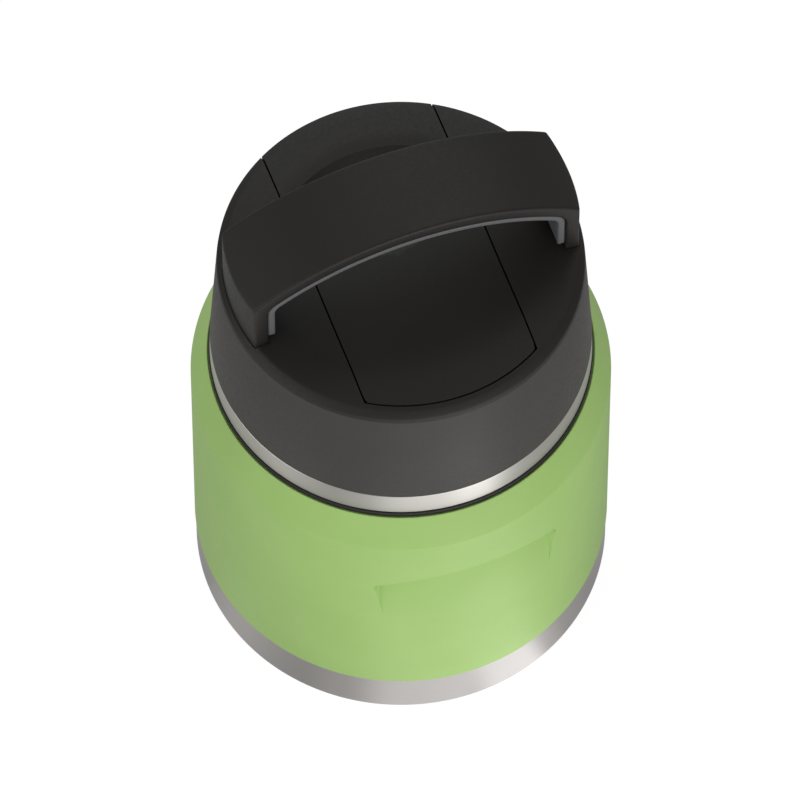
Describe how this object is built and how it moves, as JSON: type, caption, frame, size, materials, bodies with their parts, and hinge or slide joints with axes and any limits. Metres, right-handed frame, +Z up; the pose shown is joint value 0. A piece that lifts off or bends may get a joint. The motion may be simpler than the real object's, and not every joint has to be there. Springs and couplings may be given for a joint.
{
  "type": "insulated food jar",
  "caption": "Insulated steel food jar with a screw lid; the lid has a fixed arch carrying handle and a sliding door over a folding spoon.",
  "frame": {"origin": "centre of the base, on the plane that the jar stands on", "axes": "+Z up along the jar's axis; -Y is the front, with the shallow plate recess; the handle runs along X; the spoon door slides to the back, +Y"},
  "size_m": [0.1004, 0.1004, 0.1603],
  "materials": {
    "green_coat": "fine satin powder coat, light apple green",
    "brushed_steel": "bare steel, fine brushed band",
    "bright_steel": "bare steel, smooth",
    "inner_steel": "bare steel, satin electropolished",
    "trim_steel": "bare steel, satin",
    "solder_glass": "dark glass solder",
    "getter_metal": "dull sintered pellet in a cup",
    "seal_silicone": "soft translucent white silicone",
    "stopper_plastic": "moulded, matte dark grey",
    "lid_foam": "rigid cellular foam, cream",
    "grey_plastic": "moulded, satin dark grey",
    "black_plastic": "moulded, fine satin black",
    "tray_plastic": "moulded, matte near-black",
    "handle_plastic": "moulded, fine satin black",
    "liner_rubber": "soft-touch overmoulding, mid grey",
    "spoon_steel": "polished stainless spoon"
  },
  "bodies": {
    "jar": {"outer_shell": "green_coat", "base_cup": "brushed_steel", "vacuum_plug": "solder_glass", "neck_ring": "bright_steel", "inner_vessel": "inner_steel", "getter": "getter_metal"},
    "rim_seal": {"rim_seal": "seal_silicone"},
    "plug_seal": {"plug_seal": "seal_silicone"},
    "lid": {"stopper": "stopper_plastic", "lid_foam": "lid_foam", "lid_trim_ring": "trim_steel", "lid_shell": "grey_plastic", "lid_cover": "black_plastic", "spoon_tray": "tray_plastic", "spoon_bowl": "spoon_steel", "spoon_handle": "spoon_steel", "spoon_rivet": "spoon_steel", "handle_shell": "handle_plastic", "handle_liner": "liner_rubber", "handle_screws": "bright_steel"},
    "spoon_door": {"spoon_door": "black_plastic"}
  },
  "joints": [
    {"name": "lid_off", "type": "slide", "parent": "jar", "child": "rim_seal", "axis": [0, 0, 1], "range_m": [0, 0.11]},
    {"name": "thread_lift", "type": "slide", "parent": "rim_seal", "child": "plug_seal", "axis": [0, 0, 1], "range_m": [0, 0.005]},
    {"name": "lid_turn", "type": "hinge", "parent": "plug_seal", "child": "lid", "pos_m": [0, 0, 0.0995], "axis": [0, 0, 1], "range_deg": [0, 360]},
    {"name": "spoon_door_slide", "type": "slide", "parent": "lid", "child": "spoon_door", "axis": [0, 1, 0], "range_m": [0, 0.042]}
  ],
  "couplings": [
    {"joint": "thread_lift", "follows": "lid_turn", "m_per_rad": 0.00079577}
  ]
}
